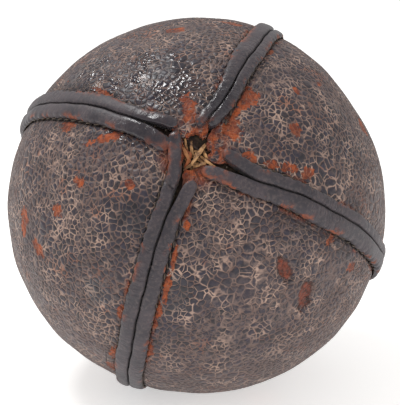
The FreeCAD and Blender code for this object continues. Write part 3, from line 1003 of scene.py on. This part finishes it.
# %% Cover leather
def cover_leather():
    """The crazed coat of the gores, from the coat's own colour up to what lies on it."""
    material, shader, place = new_material(
        "cover_leather", Sheen_Weight=0.25, Sheen_Roughness=0.45, Sheen_Tint=colour("#9c8a80"),
        Specular_IOR_Level=0.5,
    )
    cracks, opened, tone, dome = crackle(place)
    fine = noise(place, 330, 5, 0.7)
    from_pole, beside_seam = stored("from_pole"), stored("beside_seam")

    # The dark coat, a little browner in places, with brown or rusty hide in its cracks.
    coat = paint(tone, "#0c0813", "#231e31")
    coat = paint(blotches(place, (34, 4, 0.6), 0.45, 0.68, 0.0, 0.7), coat, "#31272f")
    crack = paint(blotches(place, (60, 3), 0.4, 0.65), "#745a50", "#ba9b8a")
    crack = paint(blotches(place, (44, 3, 0.6), 0.57, 0.66, 0, 0.6), crack, "#93502c")
    polish = remap(stored("polish"), 0.0, 0.7)
    lines = times(cracks, less(opened, times(polish, 0.25)))
    base = paint(times(lines, remap(from_pole, 110, 190, 0.95, 0.85)), coat, crack)
    base = paint(times(polish, 0.30), base, "#0f0a12")

    # Painted shade in the troughs of the wrinkles where a seam pulls, then dust everywhere but on the
    # polished leather, partly a painted rim sheen.
    pulled = times(remap(beside_seam, 4, 15, 1.0, 0.0), blotches(place, (17, 2), 0.46, 0.60))
    wrinkles = seam_streaks(0.055, 0.62)
    base = paint(times(pulled, remap(wrinkles, 0.52, 0.40, 0.0, 0.75)), base, "#191119")
    drifted = times(blotches(place, (19, 3, 0.55), 0.42, 0.62, 0.15, 0.9), remap(fine, 0.44, 0.60))
    # Far from the front pole, which faces the camera, the dust is partly a painted rim sheen: the
    # grey-brown veil of leather seen at a grazing angle.
    settled_dust_and_rim_sheen = times(remap(from_pole, 100, 185), remap(fine, 0.36, 0.62, 0.1, 0.62))
    dust_and_rim_sheen = times(either(drifted, settled_dust_and_rim_sheen), less(1.0, times(polish, 0.85)))
    base = paint(times(dust_and_rim_sheen, 0.8), base, "#6d5a54")

    # Rust-orange hide in the bare patches, along the seams, round the opening and in flecks.
    rust = paint(blotches(place, (240, 5, 0.6), 0.3, 0.7), "#5e2006", "#ab4c10")
    rust = paint(blotches(place, (78, 4, 0.6), 0.44, 0.64, 0.0, 0.85), rust, "#561a07")
    bare = patch_mask(place, "bare")
    worn = times(remap(beside_seam, 0.0, 4.5, 1.0, 0.0), blotches(place, (42, 4, 0.6), 0.54, 0.60))
    mouth = times(remap(from_pole, 15, 29, 1.0, 0.0), blotches(place, (95, 4, 0.65), 0.40, 0.50))
    flecks = blotches(place, (105, 4, 0.62), 0.715, 0.74)
    orange = either(either(bare, worn), either(mouth, flecks))
    islands = blotches(place, (310, 4, 0.6), 0.36, 0.44, 0.25, 0.92)
    base = paint(times(orange, islands), base, rust)
    base = paint(times(times(orange, lines), 0.2), base, "#b0683c")

    # Painted shade in the gap beside a binding, then the two torn patches.
    edge = calc("ADD", beside_seam, times(noise(place, 130, 3, 0.6), 2.4))
    gap_shade = times(remap(edge, 1.5, 2.5, 0.85, 0.0), remap(from_pole, 24, 34))
    base = paint(gap_shade, base, "#0b0607")
    torn = patch_mask(place, "torn", 1.3)
    torn_hide_and_shade = paint(blotches(place, (260, 5, 0.7), 0.35, 0.65), "#240a06", "#7c3216")
    # Painted shade darkens each torn patch towards its outline, as on the walls of a deep hole.
    torn_hide_and_shade = paint(remap(stored("torn"), 0.05, 0.35, 0.75, 0.0), torn_hide_and_shade, "#1a0805")
    base = paint(torn, base, torn_hide_and_shade)

    # Hands have polished some of it. Bare hide and dust are dull.
    rough = blotches(place, (70, 3), 0.35, 0.7, 0.46, 0.62)
    shine = times(polish, blotches(place, (48, 2), 0.42, 0.56, 0.25, 1.0))
    rough = less(rough, times(shine, 0.47))
    rough = either(rough, times(either(orange, dust_and_rim_sheen), 0.68))

    finish_surface(shader, base, rough, [
        (dome, less(0.45 * MM, times(polish, 0.24 * MM))),
        (times(lines, -1.0), 0.25 * MM),
        (noise(place, 150, 4, 0.6), less(0.4 * MM, times(polish, 0.36 * MM))),
        (wrinkles, times(pulled, 3.0 * MM)),
        (noise(place, 85, 1.5, 0.4), times(polish, 3.2 * MM)),
        (noise(place, 900, 4, 0.6), less(0.10 * MM, times(polish, 0.07 * MM))),
        (times(orange, -1.0), 0.25 * MM),
    ])
    return material


# %% Binding leather
def binding_leather():
    """Smoother leather, cloudy grey, creased across and polished along the crest near the pole."""
    material, shader, place = new_material(
        "binding_leather", Sheen_Weight=0.1, Sheen_Roughness=0.5, Specular_IOR_Level=0.5
    )
    from_pole = stored("from_pole")
    cloud = noise(place, 55, 4, 0.6)
    base = paint(remap(cloud, 0.35, 0.68), "#272129", "#3f363c")
    base = paint(blotches(place, (420, 5, 0.7), 0.45, 0.68, 0.0, 0.6), base, "#5a4d4c")
    rust = paint(blotches(place, (240, 5, 0.6), 0.3, 0.7), "#5a210a", "#9a4a1e")

    # Worn through to rusty hide at the edge and round the torn end, but not on the crest.
    edge = times(stored("wear"), blotches(place, (70, 4, 0.65), 0.54, 0.60))
    near = times(remap(from_pole, 18, 30, 1.0, 0.0), blotches(place, (120, 4, 0.65), 0.52, 0.58))
    worn = either(edge, times(near, less(1.0, stored("crest"))))
    base = paint(times(worn, 0.85), base, rust)
    gloss = times(remap(from_pole, 40, 72, 1.0, 0.0), stored("polish"))
    base = paint(times(gloss, 0.55), base, "#17131d")
    rough = less(remap(cloud, 0.35, 0.68, 0.50, 0.62), times(gloss, 0.42))
    creases = remap(seam_streaks(0.30, 0.10), 0.40, 0.54)
    creases = times(creases, blotches(place, (27, 2), 0.45, 0.62, 0.15, 1.0))
    # Faint painted shade in the troughs of the creases.
    base = paint(times(less(1.0, creases), 0.07), base, "#15111a")
    rough = either(rough, times(worn, 0.7))
    finish_surface(shader, base, rough, [
        (noise(place, 120, 4, 0.6), 0.5 * MM),
        (creases, 0.35 * MM),
        (noise(place, 100, 1.5, 0.4), times(gloss, 2.5 * MM)),
        (noise(place, 800, 4, 0.65), 0.14 * MM),
    ])
    return material


# %% [markdown]
# ## Thread, canvas and straw
#
# These are mostly hidden, but each is a stuff of its own: waxed thread, woven canvas, packed straw, and
# loose stalks of several ages.

# %% The hidden stuffs
def waxed_thread():
    """Dark linen thread, dull with wax and dirt."""
    material, shader, place = new_material("waxed_thread", Specular_IOR_Level=0.45)
    twist = noise(place, 1500, 2)
    base = paint(noise(place, 300, 3), "#2a221d", "#5a4a3c")
    finish_surface(shader, base, remap(twist, 0.3, 0.7, 0.45, 0.65), [(twist, 0.15 * MM)])
    return material


def canvas_cloth():
    """A plain weave from two sets of waves, stained with rust from the leather."""
    material, shader, place = new_material("lining_canvas", Sheen_Weight=0.2, Sheen_Roughness=0.6)
    weave = []
    for axis in ("X", "Z"):
        inputs = {"Vector": place, "Scale": 260, "Distortion": 0.4, "Detail": 2.0}
        weave.append(add_node("ShaderNodeTexWave", inputs, bands_direction=axis).outputs[1])
    cloth = either(weave[0], weave[1])
    base = paint(cloth, "#4a3524", "#8f6f4c")
    base = paint(blotches(place, (60, 4), 0.4, 0.65), base, "#7a3414")
    finish_surface(shader, base, remap(cloth, 0, 1, 0.85, 0.7), [(cloth, 0.4 * MM)])
    return material


def straw_stuff(name, dark, pale, deep):
    """Packed fibre, or loose stalks that each have an age."""
    material, shader, place = new_material(name, Sheen_Weight=0.1)
    stalks = noise(place, 210, 4, 0.7)
    base = paint(remap(stalks, 0.36, 0.64), dark, pale)
    if name == "straw":
        base = paint(remap(stored("age"), 0.55, 0.9), base, deep)
        base = paint(remap(stored("age"), 0.30, 0.0), base, "#2b1a10")
    else:
        base = paint(blotches(place, (90, 3), 0.5, 0.62), base, deep)
    finish_surface(shader, base, remap(stalks, 0, 1, 0.85, 0.55), [(noise(place, 700, 4), 0.5 * MM)])
    return material


# %% Hand polish
# Where hands have polished the leather, in the same form as the bare patches.
POLISHED = (
    (118, 62, 42, 34, 20), (150, 30, 22, 14, 0), (66, 42, 36, 15, 0), (158, 40, 30, 15, 0),
    (140, 110, 22, 30, 0), (225, 60, 14, 12, 0),
    (232, 120, 12, 14, 0), (262, 95, 16, 10, 0),
)
for piece in list(cover_panels.values()) + list(bindings.values()):
    write_attribute(piece, "polish", np.clip(patch_field(get_points(piece), POLISHED) * 2, 0, 1))
print("polished patches:", len(POLISHED))

# %% Dress the pieces
COVER, BINDING = cover_leather(), binding_leather()
THREAD, CANVAS = waxed_thread(), canvas_cloth()
PACKED = straw_stuff("packed_fibre", "#0b0705", "#4d3822", "#2c150b")
STALKS = straw_stuff("straw", "#5a3a20", "#b98b5a", "#93451a")


def place_piece(piece, material, node):
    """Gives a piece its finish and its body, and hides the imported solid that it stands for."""
    piece.data.materials.clear()
    piece.data.materials.append(material)
    pick(piece)
    bpy.ops.object.shade_smooth_by_angle(angle=math.radians(50))
    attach(piece, "root")
    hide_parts(node)


for seam in ORDER:
    place_piece(cover_panels[seam], COVER, f"cover_panel_{PANELS[seam]}")
    place_piece(linings[seam], CANVAS, f"lining_panel_{PANELS[seam]}")
    place_piece(threads[seam, None], THREAD, f"closing_stitches_{seam}")
    for side in (AHEAD, BEHIND):
        label = f"{seam}_{SIDES[seam][side]}"
        place_piece(bindings[seam, side], BINDING, f"edge_binding_{label}")
        place_piece(threads[seam, side], THREAD, f"binding_stitches_{label}")
place_piece(packed, PACKED, "stuffing")
place_piece(straw, STALKS, "loose_straw")
print("pieces dressed")


# %% [markdown]
# ## Stage, light and camera
#
# The ball stands in a white studio, with a softbox nearly overhead, a little to the left. The camera is
# a little above the ball's middle, and far enough away that perspective hardly shows.

# %% Floor and walls
deselect()
bpy.ops.mesh.primitive_circle_add(vertices=96, radius=6, fill_type="NGON", location=(0, 0, 0))
floor = just_made("studio_floor")
pale, shader, _ = new_material("studio_floor", Roughness=0.9, Specular_IOR_Level=0.1)
shader.inputs["Base Color"].default_value = colour("#f4f3f1")
shader.inputs["Emission Color"].default_value = (1, 1, 1, 1)
shader.inputs["Emission Strength"].default_value = 0.5
floor.data.materials.append(pale)

world = bpy.data.worlds.new("studio")
world.use_nodes = True
walls = world.node_tree.nodes["Background"].inputs
walls["Color"].default_value = (1.0, 0.99, 0.98, 1)
walls["Strength"].default_value = 0.66
bpy.context.scene.world = world
bpy.context.scene.view_settings.view_transform = "Standard"
print("floor and walls")


# %% Softbox
def softbox(name, direction, distance, size, power):
    """A square light that faces the ball."""
    way = Vector(direction).normalized()
    bpy.ops.object.light_add(type="AREA", location=CENTRE + way * distance)
    light = just_made(name)
    light.data.size = size
    light.data.energy = power
    light.rotation_euler = way.to_track_quat("Z", "Y").to_euler()


softbox("overhead_softbox", (-0.41, 0.08, 0.91), distance=1.5, size=0.42, power=12)
softbox("front_fill", (0.5, -0.8, 0.35), distance=2.0, size=1.6, power=6)
print("softboxes: 2")

# %% Camera
CAMERA_ELEVATION, DISTANCE, LENS = math.radians(15), 7 * RADIUS, 115.8
AIM_RIGHT, AIM_UP = 2.5 * MM, 2.3 * MM           # the ball stands a little off the middle of the view
back = Vector((0, -math.cos(CAMERA_ELEVATION), math.sin(CAMERA_ELEVATION)))
upwards = Vector((0, math.sin(CAMERA_ELEVATION), math.cos(CAMERA_ELEVATION)))
aim = CENTRE + Vector((AIM_RIGHT, 0, 0)) + upwards * AIM_UP
bpy.ops.object.camera_add(location=aim + back * DISTANCE)
camera = bpy.context.object
camera.rotation_euler = back.to_track_quat("Z", "Y").to_euler()
camera.data.lens = LENS
camera.data.sensor_width = 36
bpy.context.scene.camera = camera
print(f"camera {DISTANCE:.2f} m from the ball")
